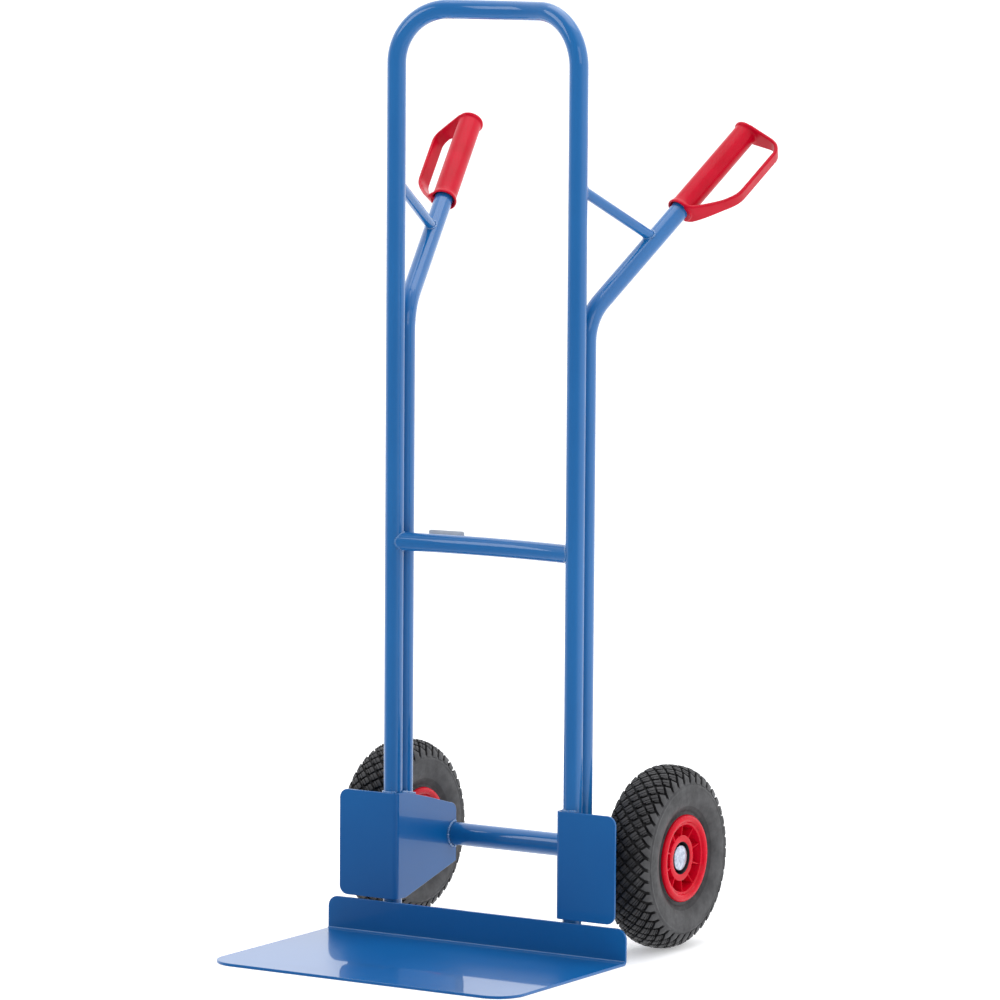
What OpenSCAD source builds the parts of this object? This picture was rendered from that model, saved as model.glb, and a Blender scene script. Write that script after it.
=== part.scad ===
// Stacking hand truck with a tall hoop back, two sloped handles and two pneumatic wheels.
// X runs across the truck, -Y is the load side, +Z is up and z = 0 is the floor.

/* [Tube frame] */
// Outside diameter of the hoop and handle tubes
tube_d = 26.5; // [22:0.5:34]
// Wall thickness of the hoop and handle tubes
tube_wall = 2; // [1.5:0.25:4]
// Distance between the centre lines of the two uprights
stile_pitch = 294; // [240:2:400]
// Height of the top of the hoop above the floor
frame_h = 1310; // [1000:10:1600]
// Bend radius of the two upper hoop corners
hoop_bend_r = 75; // [50:5:140]
// Angle at which the top run leaves each corner towards the back
bow_angle = 13; // [4:1:20]
// Height of the crossbar centre line
crossbar_z = 557; // [400:5:900]
// Outside diameter of the crossbar
crossbar_d = 26; // [20:1:32]
// Backward bow of the crossbar at its middle
crossbar_sag = 14; // [5:1:30]

/* [Handles] */
// Height at which the handle line meets the upright line
handle_z = 880.7; // [700:5:1100]
// Angle of the handle from the vertical
handle_tilt = 51.2; // [30:1:75]
// Angle by which each handle splays outwards
handle_splay = 15.4; // [0:1:30]
// Bend radius of the handle tube
handle_bend_r = 70; // [50:5:120]
// Length of the handle from the bend corner to the tube end
handle_len = 386; // [300:2:480]
// Diameter of the brace between upright and handle
brace_d = 15; // [10:1:20]
// Height at which the brace meets the upright
brace_z = 1060; // [1000:5:1150]
// Distance along the handle at which the brace meets it
brace_t = 164; // [120:2:200]

/* [Grips] */
// Distance along the handle to the open end of the grip
grip_t0 = 223; // [180:1:260]
// Overall length of the grip
grip_len = 170; // [130:2:200]
// Outside diameter of the grip sleeve
grip_d = 33.4; // [30:0.5:42]
// Outside diameter of the grip collar and end plate
collar_d = 38; // [34:0.5:50]
// Distance from the grip axis to the middle of the guard bar
guard_reach = 58; // [50:1:80]
// Width of the guard bar along its straight run
guard_w = 20; // [12:1:30]
// Thickness of the guard bar
guard_t = 5; // [3:0.5:8]
// Turn of the guard from sideways towards the floor
guard_turn = 28.8; // [0:1:60]

/* [Toe plate and wheel brackets] */
// Width of the toe plate
toe_w = 487; // [300:5:600]
// Distance of the toe plate front edge ahead of the upright centre line
toe_reach = 323; // [150:1:420]
// Height of the upturned back edge of the toe plate
toe_lip_h = 50; // [30:1:90]
// Thickness of the toe plate and bracket plates
plate_t = 4; // [3:0.5:6]
// Bottom edge height of the wheel brackets
bracket_z0 = 54; // [52:1:70]
// Top edge height of the wheel brackets
bracket_z1 = 204; // [160:2:260]
// Distance of the bracket outer edge from the middle of the truck
bracket_x = 225; // [190:1:235]

/* [Axle and wheels] */
// Height and radius of the wheels
wheel_r = 128; // [100:1:160]
// Half the width of a tyre
tyre_hw = 37; // [35:0.5:45]
// Distance of the axle behind the uprights
axle_y = 134; // [120:1:140]
// Distance of each wheel middle plane from the middle of the truck
wheel_x = 216.5; // [214:0.5:245]
// Diameter of the axle rod
rod_d = 20; // [16:1:25]
// Outside diameter of the axle tube
axle_tube_d = 32.5; // [28:0.5:38]
// Number of ribs in each rim face
rib_n = 10; // [6:1:12]
// Number of rollers in each wheel bearing
roller_n = 12; // [8:1:14]

/* [Hidden] */
$fn = 96;
tr = tube_d / 2;
sx = stile_pitch / 2;
stile_z0 = plate_t;
handle_y = tube_d + 0.3;
handle_z0 = 62;
hoop_z = frame_h - tr;
corner_dx = hoop_bend_r * cos(bow_angle);
corner_dy = hoop_bend_r * sin(bow_angle);
bow_r = (sx - corner_dx) / sin(bow_angle);
bow_y = corner_dy - bow_r * cos(bow_angle);
cross_r = (sx * sx + crossbar_sag * crossbar_sag) / (2 * crossbar_sag);
cross_half = asin(sx / cross_r);
label_turn = 5.5;
bend_l = handle_bend_r * tan(handle_tilt / 2);
bend_step = 0.15;
plate_back = -tr - 0.05;
plate_front = plate_back - plate_t;
side_out = sx - tr - 0.05;
side_in = side_out - plate_t;
bend_ri = 3;
bend_ro = bend_ri + plate_t;
brace_hx = sx + brace_t * sin(handle_splay) * sin(handle_tilt);
brace_hy = handle_y + brace_t * cos(handle_splay) * sin(handle_tilt);
brace_hz = handle_z + brace_t * cos(handle_tilt);
brace_dx = brace_hx - sx;
brace_dz = brace_hz - brace_z;
brace_l = sqrt(brace_dx * brace_dx + brace_hy * brace_hy + brace_dz * brace_dz);
rod_r = rod_d / 2;
run_gap = 0.05;
roller_r = 2.45;
track_r = rod_r + 5;
pitch_r = rod_r + 2.5;
sleeve_r = track_r + 2;
hub_r = 32;
recess_r = 22.5;
hub_out = 26.5;
hub_in = -37;
sleeve_out = 13.6;
barrel_r = 51;
flange_r = 61;
flange_z = 28.4;
web_out = 12;
web_in = 6;
section_c = wheel_r - tyre_hw;
cavity_r = tyre_hw - 6;
axle_half = wheel_x + hub_in - 2;
bracket_y1 = 139.5;
bolt_n = 5;
bolt_pr = 40;
valve_angle = 360 / rib_n * 1.5;

// ---------- shared shapes ----------

// Ring section of a tube, at distance d from the turning axis
module tube_section(r, wall, d) {
  difference() {
    translate([d, 0]) circle(r = r);
    translate([d, 0]) circle(r = r - wall);
  }
}

// Straight tube standing on the origin
module straight_tube(r, wall, h) {
  linear_extrude(height = h) tube_section(r, wall, 0);
}

// Tube bend that starts upwards at the origin and turns towards +Y.
// Its wall is thicker by bend_step on both sides, so a straight run can end inside it.
module tube_bend(r, wall, bend_r, turn) {
  translate([0, bend_r, 0])
    rotate([90, 0, -90])
      rotate_extrude(angle = turn) tube_section(r + bend_step, wall + 2 * bend_step, bend_r);
}

// Flat ring
module ring(ro, ri, h) {
  difference() {
    cylinder(r = ro, h = h);
    translate([0, 0, -1]) cylinder(r = ri, h = h + 2);
  }
}

// Rectangle from the origin whose corners are rounded by the given radii, in order round the edge
module round_rect(w, h, ra, rb, rc, rd) {
  difference() {
    square([w, h]);
    corner_cut(0, 0, 1, 1, ra);
    corner_cut(w, 0, -1, 1, rb);
    corner_cut(w, h, -1, -1, rc);
    corner_cut(0, h, 1, -1, rd);
  }
}

// Waste outside a rounded corner
module corner_cut(x, y, dx, dy, r) {
  if (r > 0)
    difference() {
      translate([x + dx * r / 2 - dx, y + dy * r / 2 - dy]) square([r + 2, r + 2], center = true);
      translate([x + dx * r, y + dy * r]) circle(r = r);
    }
}

// Places a child in the handle frame: local Z runs along the right handle
module on_handle() {
  translate([sx, handle_y, handle_z])
    rotate([0, 0, -handle_splay])
      rotate([-handle_tilt, 0, 0])
        children();
}

// Places a child in the right wheel frame: local Z points outwards
module on_wheel() {
  translate([wheel_x, axle_y, wheel_r])
    rotate([0, 90, 0])
      children();
}

// ---------- frame ----------

// Left half of the hoop up to the start of the bowed top run
module hoop_side() {
  translate([-sx, 0, stile_z0]) straight_tube(tr, tube_wall, hoop_z - hoop_bend_r - stile_z0 + 1);
  translate([-sx, 0, hoop_z - hoop_bend_r])
    rotate([0, 0, bow_angle - 90])
      tube_bend(tr, tube_wall, hoop_bend_r, 90);
}

module main_hoop() {
  color([0.16, 0.39, 0.66]) {
    hoop_side();
    mirror([1, 0, 0]) hoop_side();
    translate([0, bow_y, hoop_z])
      rotate_extrude(angle = 2 * bow_angle + 0.36, start = 89.82 - bow_angle, $fn = 480)
        tube_section(tr, tube_wall, bow_r);
  }
}

module handle_tube() {
  color([0.16, 0.39, 0.66]) {
    translate([sx, handle_y, handle_z0])
      straight_tube(tr, tube_wall, handle_z - bend_l - handle_z0 + 1);
    translate([sx, handle_y, handle_z - bend_l])
      rotate([0, 0, -handle_splay])
        tube_bend(tr, tube_wall, handle_bend_r, handle_tilt);
    on_handle()
      translate([0, 0, bend_l - 1]) straight_tube(tr, tube_wall, handle_len - bend_l + 1);
  }
}

module handle_brace() {
  color([0.14, 0.35, 0.60])
    difference() {
      translate([sx, 0, brace_z])
        rotate([0, acos(brace_dz / brace_l), atan2(brace_hy, brace_dx)])
          cylinder(d = brace_d, h = brace_l);
      translate([sx, 0, brace_z - 60]) cylinder(r = tr + 0.05, h = 120);
      on_handle() translate([0, 0, brace_t - 60]) cylinder(r = tr + 0.05, h = 120);
    }
}

module crossbar() {
  color([0.16, 0.39, 0.66])
    difference() {
      translate([0, crossbar_sag - cross_r, crossbar_z])
        rotate_extrude(angle = 2 * cross_half, start = 90 - cross_half, $fn = 720)
          tube_section(crossbar_d / 2, tube_wall, cross_r);
      for (s = [-1, 1])
        translate([s * sx, 0, crossbar_z - 30]) cylinder(r = tr + 0.05, h = 60);
    }
}

// Blank identification plate behind the crossbar
module label_plate() {
  color([0.80, 0.81, 0.80])
    translate([0, crossbar_sag - cross_r, crossbar_z])
      rotate([0, 0, label_turn])
        translate([0, cross_r + crossbar_d / 2 + 0.8, 4.5])
          rotate([90, 0, 0])
            linear_extrude(height = 1.2, center = true)
              translate([-27.5, -12.5]) round_rect(55, 25, 3, 3, 3, 3);
}

// Flat plate of the toe with a rounded bend into the upturned back lip
module toe_plate() {
  color([0.09, 0.33, 0.58]) {
    translate([-toe_w / 2, -toe_reach, 0])
      linear_extrude(height = plate_t)
        round_rect(toe_w, toe_reach + plate_back - bend_ro, 42, 42, 0, 0);
    translate([-toe_w / 2, plate_back - bend_ro, bend_ro])
      rotate([90, 0, 90])
        linear_extrude(height = toe_w)
          difference() {
            intersection() {
              circle(r = bend_ro);
              translate([0, -bend_ro]) square([bend_ro, bend_ro]);
            }
            circle(r = bend_ri);
          }
    translate([-toe_w / 2, plate_back, bend_ro])
      rotate([90, 0, 0])
        linear_extrude(height = plate_t)
          round_rect(toe_w, toe_lip_h - bend_ro, 0, 0, 15, 15);
  }
}

// Right wheel bracket: front guard plate, rounded bend and side plate
module wheel_bracket() {
  color([0.08, 0.33, 0.60])
    difference() {
      union() {
        translate([side_in + bend_ro, plate_back, bracket_z0])
          rotate([90, 0, 0])
            linear_extrude(height = plate_t)
              round_rect(bracket_x - side_in - bend_ro, bracket_z1 - bracket_z0, 0, 13, 13, 0);
        translate([side_in + bend_ro, plate_front + bend_ro, bracket_z0])
          linear_extrude(height = bracket_z1 - bracket_z0)
            difference() {
              intersection() {
                circle(r = bend_ro);
                translate([-bend_ro, -bend_ro]) square([bend_ro, bend_ro]);
              }
              circle(r = bend_ri);
            }
        translate([side_in, 0, 0])
          rotate([90, 0, 90])
            linear_extrude(height = plate_t) side_outline();
      }
      translate([side_in - 1, axle_y, wheel_r])
        rotate([0, 90, 0]) cylinder(d = axle_tube_d + 0.1, h = plate_t + 2);
    }
}

// Outline of the bracket side plate, seen from the side
module side_outline() {
  y0 = plate_front + bend_ro;
  difference() {
    polygon([
      [y0, bracket_z0], [8, bracket_z0], [bracket_y1, 88.5],
      [bracket_y1, 171], [5, bracket_z1], [y0, bracket_z1]
    ]);
    difference() {
      translate([bracket_y1 - 15, 155]) square([40, 40]);
      translate([bracket_y1 - 15, 158.5]) circle(r = 15);
      translate([bracket_y1 - 44, 100]) square([44, 58.5]);
    }
  }
}

module axle_tube() {
  color([0.10, 0.36, 0.62])
    translate([-axle_half, axle_y, wheel_r])
      rotate([0, 90, 0]) ring(axle_tube_d / 2, rod_r + 0.05, 2 * axle_half);
}

module axle_rod() {
  color([0.62, 0.64, 0.66])
    translate([-wheel_x - 21.9, axle_y, wheel_r])
      rotate([0, 90, 0]) cylinder(r = rod_r, h = 2 * wheel_x + 43.8);
}

// ---------- grips ----------

// Closed sleeve with collar, end plate and D-shaped hand guard, along local Z
module grip() {
  color([0.83, 0.03, 0.13])
    on_handle()
      rotate([0, 0, guard_turn])
        translate([0, 0, grip_t0])
          difference() {
            union() {
              cylinder(d = grip_d, h = grip_len - 1);
              cylinder(d = collar_d, h = 5);
              translate([0, 0, grip_len - 5]) cylinder(d = collar_d, h = 5);
              intersection() {
                rotate([90, 0, 0])
                  linear_extrude(height = collar_d, center = true) guard_outline();
                guard_taper();
              }
            }
            translate([0, 0, -1]) cylinder(r = tr + 0.05, h = handle_len - grip_t0 + 1.2);
          }
}

// Side view of the guard loop: local X away from the sleeve, local Y along it
module guard_outline() {
  g = guard_reach;
  h = guard_t / 2;
  top = grip_len;
  difference() {
    union() {
      polygon([[0, 0], [19, 0], [g + h - 5, 57], [g + h, 70], [g + h, top - 20], [g + h - 20, top], [0, top]]);
      translate([g + h - 20, top - 20]) circle(r = 20);
    }
    polygon([[0, 5], [16.5, 5], [g - h - 4, 60], [g - h, 72], [g - h, top - 20], [g - h - 15, top - 5], [0, top - 5]]);
    translate([g - h - 15, top - 20]) circle(r = 15);
  }
}

// Plan view of the guard loop: as wide as the collar at the sleeve, narrow along the bar
module guard_taper() {
  w = guard_w / 2;
  c = collar_d / 2;
  linear_extrude(height = grip_len)
    polygon([[0, c], [6, c - 0.6], [guard_reach - 14, w], [90, w], [90, -w],
      [guard_reach - 14, -w], [6, 0.6 - c], [0, -c]]);
}

// ---------- wheel, along local Z ----------

// Cross-section of the tyre
module tyre_section() {
  difference() {
    union() {
      translate([section_c, 0]) circle(r = tyre_hw);
      intersection() {
        translate([wheel_r - 56, 0]) circle(r = 56);
        translate([section_c, -28]) square([60, 56]);
      }
      for (s = [0, 1]) mirror([0, s]) translate([50, 14]) square([12, flange_z - 13]);
    }
    translate([section_c, 0]) circle(r = cavity_r);
    translate([40, -9]) square([24, 18]);
    translate([0, -60]) square([51.1, 120]);
    for (s = [0, 1]) mirror([0, s]) translate([40, flange_z - 0.1]) square([21.2, 20]);
  }
}

module tyre() {
  color([0.16, 0.16, 0.17]) on_wheel() rotate_extrude() tyre_section();
}

module inner_tube() {
  color([0.10, 0.10, 0.10])
    on_wheel()
      rotate_extrude()
        difference() {
          translate([section_c, 0]) circle(r = cavity_r - 0.3);
          translate([section_c, 0]) circle(r = cavity_r - 2.1);
        }
}

// Barrel and bead flange shared by both rim halves
module rim_edge() {
  translate([barrel_r - 5, 0]) square([5, flange_z + 1]);
  translate([barrel_r - 5, flange_z]) square([flange_r - barrel_r + 1.2, 3.6]);
  translate([flange_r - 3.8, flange_z + 3.1]) circle(r = 3.1);
}

// Ribs between hub and barrel
module rim_ribs(h, z0) {
  for (i = [0 : rib_n - 1])
    rotate([0, 0, 360 / rib_n * i])
      translate([hub_r - 4, -1.4, z0]) cube([barrel_r - hub_r, 2.8, h]);
}

module rim_outer() {
  color([0.80, 0.02, 0.09])
    on_wheel()
      difference() {
        union() {
          rotate_extrude()
            difference() {
              union() {
                translate([sleeve_r + 0.05, 0]) square([barrel_r - sleeve_r - 1, web_out]);
                translate([sleeve_r + 0.05, 0]) square([hub_r - sleeve_r - 0.05, hub_out]);
                rim_edge();
              }
              translate([0, sleeve_out + 0.1]) square([recess_r, 20]);
            }
          rim_ribs(hub_out - web_out, web_out - 1);
        }
        for (i = [0 : bolt_n - 1])
          rotate([0, 0, 360 / rib_n * (2 * i + 0.5)])
            translate([bolt_pr, 0, -1]) cylinder(r = 3.05, h = 7);
      }
}

module rim_inner() {
  color([0.80, 0.02, 0.09])
    on_wheel()
      difference() {
        union() {
          mirror([0, 0, 1])
            rotate_extrude() {
              translate([sleeve_r + 0.05, 0.05]) square([barrel_r - sleeve_r - 1, web_in]);
              translate([sleeve_r + 0.05, 0.05]) square([9, -hub_in - 0.05]);
              translate([0, 0.05]) rim_edge();
            }
          for (i = [0 : rib_n - 1])
            rotate([0, 0, 360 / rib_n * i])
              translate([sleeve_r + 5, -1.4, -20]) cube([barrel_r - sleeve_r - 9, 2.8, 15]);
        }
        for (i = [0 : bolt_n - 1])
          rotate([0, 0, 360 / rib_n * (2 * i + 0.5)])
            translate([bolt_pr, 0, -20]) cylinder(r = 3.05, h = 22);
        rotate([0, 0, valve_angle])
          translate([30, 0, -14]) rotate([0, 90, 0]) cylinder(r = 4.1, h = 30);
      }
}

// Five screws that clamp the rim halves, with their heads on the inner side
module rim_bolts() {
  color([0.70, 0.71, 0.72])
    on_wheel()
      for (i = [0 : bolt_n - 1])
        rotate([0, 0, 360 / rib_n * (2 * i + 0.5)])
          translate([bolt_pr, 0, 0]) {
            translate([0, 0, -web_in - 1]) cylinder(r = 3, h = web_in + 6.5);
            translate([0, 0, -web_in - 4.1]) cylinder(r = 5.2, h = 4, $fn = 6);
          }
}

// Elbowed valve stem that comes through the inner rim barrel
module valve_stem() {
  color([0.55, 0.50, 0.36])
    on_wheel()
      rotate([0, 0, valve_angle]) {
        translate([40, 0, -14]) rotate([0, 90, 0]) cylinder(r = 4, h = barrel_r - 40);
        translate([40, 0, -14]) sphere(r = 4);
        translate([40, 0, -27]) cylinder(r = 4, h = 13);
      }
}

module valve_cap() {
  color([0.08, 0.08, 0.08])
    on_wheel()
      rotate([0, 0, valve_angle])
        difference() {
          translate([40, 0, -34]) cylinder(r = 5, h = 10);
          translate([40, 0, -27.2]) cylinder(r = 4.05, h = 5);
        }
}

module hub_sleeve() {
  color([0.60, 0.61, 0.62])
    on_wheel() translate([0, 0, hub_in]) ring(sleeve_r, track_r, sleeve_out - hub_in);
}

// Cage with one pocket for each roller
module bearing_cage() {
  color([0.30, 0.30, 0.31])
    on_wheel()
      difference() {
        translate([0, 0, -35]) ring(pitch_r + 1.4, pitch_r - 1.4, 46);
        for (i = [0 : roller_n - 1])
          rotate([0, 0, 360 / roller_n * i])
            translate([pitch_r, 0, -33]) cylinder(r = roller_r + 0.08, h = 42);
      }
}

module bearing_rollers() {
  color([0.75, 0.76, 0.78])
    on_wheel()
      for (i = [0 : roller_n - 1])
        rotate([0, 0, 360 / roller_n * i])
          translate([pitch_r, 0, -32.9]) cylinder(r = roller_r, h = 41.8);
}

module inner_washer() {
  color([0.72, 0.73, 0.75]) on_wheel() translate([0, 0, hub_in - 1.9]) ring(17, rod_r + 0.1, 1.6);
}

module outer_washer() {
  color([0.72, 0.73, 0.75]) on_wheel() translate([0, 0, sleeve_out + 0.3]) ring(16.5, rod_r + 0.1, 1.6);
}

// Domed push-on cap over the rod end
module axle_cap() {
  z0 = sleeve_out + 2;
  color([0.70, 0.75, 0.82])
    on_wheel()
      difference() {
        intersection() {
          translate([0, 0, z0]) cylinder(r = 17.8, h = 14);
          translate([0, 0, z0 - 47.8]) sphere(r = 60);
        }
        translate([0, 0, z0 - 1]) cylinder(r = rod_r + 0.05, h = 7.6);
      }
}

main_hoop();
mirror([1, 0, 0]) handle_tube();  // left_handle_tube
handle_tube();  // right_handle_tube
mirror([1, 0, 0]) handle_brace();  // left_handle_brace
handle_brace();  // right_handle_brace
crossbar();
label_plate();
toe_plate();
mirror([1, 0, 0]) wheel_bracket();  // left_wheel_bracket
wheel_bracket();  // right_wheel_bracket
axle_tube();
axle_rod();
mirror([1, 0, 0]) grip();  // left_grip
grip();  // right_grip
mirror([1, 0, 0]) inner_washer();  // left_inner_washer
inner_washer();  // right_inner_washer
mirror([1, 0, 0]) outer_washer();  // left_outer_washer
outer_washer();  // right_outer_washer
mirror([1, 0, 0]) axle_cap();  // left_axle_cap
axle_cap();  // right_axle_cap
mirror([1, 0, 0]) tyre();  // left_tyre
tyre();  // right_tyre
mirror([1, 0, 0]) inner_tube();  // left_inner_tube
inner_tube();  // right_inner_tube
mirror([1, 0, 0]) rim_outer();  // left_rim_outer
rim_outer();  // right_rim_outer
mirror([1, 0, 0]) rim_inner();  // left_rim_inner
rim_inner();  // right_rim_inner
mirror([1, 0, 0]) rim_bolts();  // left_rim_bolts
rim_bolts();  // right_rim_bolts
mirror([1, 0, 0]) valve_stem();  // left_valve_stem
valve_stem();  // right_valve_stem
mirror([1, 0, 0]) valve_cap();  // left_valve_cap
valve_cap();  // right_valve_cap
mirror([1, 0, 0]) hub_sleeve();  // left_hub_sleeve
hub_sleeve();  // right_hub_sleeve
mirror([1, 0, 0]) bearing_cage();  // left_bearing_cage
bearing_cage();  // right_bearing_cage
mirror([1, 0, 0]) bearing_rollers();  // left_bearing_rollers
bearing_rollers();  // right_bearing_rollers
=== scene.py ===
"""Looks of the hand truck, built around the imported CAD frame.

Sizes are in millimetres in the row frame: X across, -Y the load side, +Z up.
They become metres when a mesh is made.
"""

import bisect
import math
import random

import bmesh
import bpy
from mathutils import Matrix, Vector


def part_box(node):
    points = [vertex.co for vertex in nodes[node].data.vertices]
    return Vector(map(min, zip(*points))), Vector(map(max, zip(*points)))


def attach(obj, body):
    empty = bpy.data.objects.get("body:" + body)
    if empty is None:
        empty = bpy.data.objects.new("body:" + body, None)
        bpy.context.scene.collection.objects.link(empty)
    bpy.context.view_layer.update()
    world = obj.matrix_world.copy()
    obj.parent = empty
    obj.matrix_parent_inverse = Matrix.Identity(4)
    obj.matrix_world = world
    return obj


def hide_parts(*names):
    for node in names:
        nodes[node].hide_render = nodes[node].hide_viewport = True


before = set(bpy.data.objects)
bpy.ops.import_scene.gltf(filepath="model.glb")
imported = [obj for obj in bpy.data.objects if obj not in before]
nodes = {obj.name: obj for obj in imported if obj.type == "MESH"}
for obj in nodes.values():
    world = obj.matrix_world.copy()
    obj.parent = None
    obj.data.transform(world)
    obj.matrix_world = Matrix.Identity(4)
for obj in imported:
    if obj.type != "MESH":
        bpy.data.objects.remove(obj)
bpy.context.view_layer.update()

MM = 0.001
UP = Vector((0, 0, 1))


def box_mm(node):
    """Lowest and highest corner of a CAD node in millimetres."""
    lo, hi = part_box(node)
    return lo / MM, hi / MM


# ---------- driving sizes ----------

TUBE_R = 13.25
TUBE_WALL = 2.0
STILE_X = 147.0
STILE_Z0 = 4.0
HOOP_Z = 1296.75
HOOP_BEND_R = 75.0
BOW_ANGLE = math.radians(13)

HANDLE_Y = 26.8
HANDLE_Z0 = 62.0
HANDLE_Z = 880.7
HANDLE_TILT = math.radians(51.2)
HANDLE_SPLAY = math.radians(15.4)
HANDLE_BEND_R = 70.0
HANDLE_LEN = 386.0
BRACE_R = 7.5
BRACE_Z = 1060.0
BRACE_T = 164.0

GRIP_T0 = 223.0
GRIP_LEN = 170.0
SLEEVE_R = 16.7
COLLAR_R = 19.0
GUARD_REACH = 58.0
GUARD_HALF_W = 10.0
GUARD_T = 5.0
GUARD_TURN = math.radians(28.8)

PLATE_T = 4.0
PLATE_BACK = -13.3
PLATE_FRONT = PLATE_BACK - PLATE_T
BEND_RI = 3.0
BEND_RO = BEND_RI + PLATE_T
CROSSBAR_Z = 557.0
CROSSBAR_R = 13.0
CROSSBAR_SAG = 14.0

TYRE_LO, TYRE_HI = box_mm("right_tyre")
WHEEL_C = (TYRE_LO + TYRE_HI) / 2
WHEEL_R = round(WHEEL_C.z, 1)
TYRE_HW = round((TYRE_HI.x - TYRE_LO.x) / 2, 1)
BARREL_R = 51.0
AXLE_WELD_R = 17.6
CAP_R = 17.8
CAP_DOME_R = 60.0
CAP_Z = 15.6
RECESS_R = 22.5
HUB_R = 32.0
HUB_FACE = 26.6
FLANGE_Z = 28.4
FLANGE_LIFT = 2.0
RIB_N = 10

# ---------- camera, light and floor ----------

CAMERA_AZ = math.radians(31.83)
CAMERA_EL = math.radians(6.23)
CAMERA_ROLL = math.radians(0.40)
CAMERA_DISTANCE = 8.3043
CAMERA_RIGHT = 0.0219
CAMERA_RAISE = 0.62005
CAMERA_LENS = 215.0


def make_camera():
    """Looks at the truck from its right front, a little above the horizon, with a long lens."""
    right = Vector((math.cos(CAMERA_AZ), math.sin(CAMERA_AZ), 0))
    level = Vector((-math.sin(CAMERA_AZ), math.cos(CAMERA_AZ), 0))
    ahead = level * math.cos(CAMERA_EL) - UP * math.sin(CAMERA_EL)
    up = right.cross(ahead)
    spot = right * CAMERA_RIGHT + up * CAMERA_RAISE - ahead * CAMERA_DISTANCE
    cam_right = right * math.cos(CAMERA_ROLL) + up * math.sin(CAMERA_ROLL)
    cam_up = up * math.cos(CAMERA_ROLL) - right * math.sin(CAMERA_ROLL)
    data = bpy.data.cameras.new("camera")
    data.lens = CAMERA_LENS
    data.sensor_width = 36
    data.clip_end = 500
    cam = bpy.data.objects.new("camera", data)
    turn = Matrix((cam_right, cam_up, -ahead)).transposed()
    cam.matrix_world = Matrix.Translation(spot) @ turn.to_4x4()
    bpy.context.scene.collection.objects.link(cam)
    bpy.context.scene.camera = cam


def make_area(name, spot, size, power, colour=(1, 1, 1)):
    """Square soft box that shines at the middle of the truck."""
    data = bpy.data.lights.new(name, "AREA")
    data.size = size
    data.energy = power
    data.color = colour
    lamp = bpy.data.objects.new(name, data)
    aim = Vector((0, 0, 0.6)) - Vector(spot)
    lamp.location = spot
    lamp.rotation_euler = aim.to_track_quat("-Z", "Y").to_euler()
    bpy.context.scene.collection.objects.link(lamp)


def make_world():
    """White studio: bright behind and above the truck, dimmer in front of it."""
    world = bpy.data.worlds.new("studio")
    bpy.context.scene.world = world
    world.use_nodes = True
    tree = world.node_tree
    tree.nodes.clear()
    place = tree.nodes.new("ShaderNodeTexCoord")
    split = tree.nodes.new("ShaderNodeSeparateXYZ")
    front = tree.nodes.new("ShaderNodeMapRange")
    front.inputs["From Min"].default_value = -0.75
    front.inputs["From Max"].default_value = 0.1
    front.interpolation_type = "SMOOTHSTEP"
    tint = tree.nodes.new("ShaderNodeMixRGB")
    tint.inputs[1].default_value = (0.34, 0.35, 0.37, 1)
    tint.inputs[2].default_value = (1.55, 1.56, 1.58, 1)
    back = tree.nodes.new("ShaderNodeBackground")
    back.inputs["Strength"].default_value = 1.0
    out = tree.nodes.new("ShaderNodeOutputWorld")
    tree.links.new(place.outputs["Generated"], split.inputs[0])
    tree.links.new(split.outputs["Y"], front.inputs["Value"])
    tree.links.new(front.outputs[0], tint.inputs[0])
    tree.links.new(tint.outputs[0], back.inputs["Color"])
    tree.links.new(back.outputs[0], out.inputs["Surface"])


def make_floor():
    """Wide pale floor that fills the view behind the truck."""
    mesh = bpy.data.meshes.new("floor")
    reach = 150
    mesh.from_pydata([(-reach, -reach, 0), (reach, -reach, 0), (reach, reach, 0), (-reach, reach, 0)], [],
                     [(0, 1, 2, 3)])
    floor = bpy.data.objects.new("floor", mesh)
    floor.location.z = -0.0002
    bpy.context.scene.collection.objects.link(floor)
    mat = bpy.data.materials.new("pale_floor")
    mat.use_nodes = True
    shader = mat.node_tree.nodes["Principled BSDF"]
    shader.inputs["Base Color"].default_value = (0.76, 0.76, 0.765, 1)
    shader.inputs["Roughness"].default_value = 0.9
    shader.inputs["Specular IOR Level"].default_value = 0.1
    shader.inputs["Emission Color"].default_value = (1, 1, 1, 1)
    shader.inputs["Emission Strength"].default_value = 0.34
    floor.visible_glossy = False
    mesh.materials.append(mat)


bpy.context.scene.view_settings.view_transform = "Standard"
make_camera()
make_world()
make_floor()
make_area("key_light", (-2.6, -3.4, 3.2), 2.2, 60)
make_area("fill_light", (3.6, -2.6, 2.6), 2.0, 26)
make_area("top_light", (0.3, 0.8, 4.2), 3.0, 60)

# ---------- materials ----------


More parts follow.
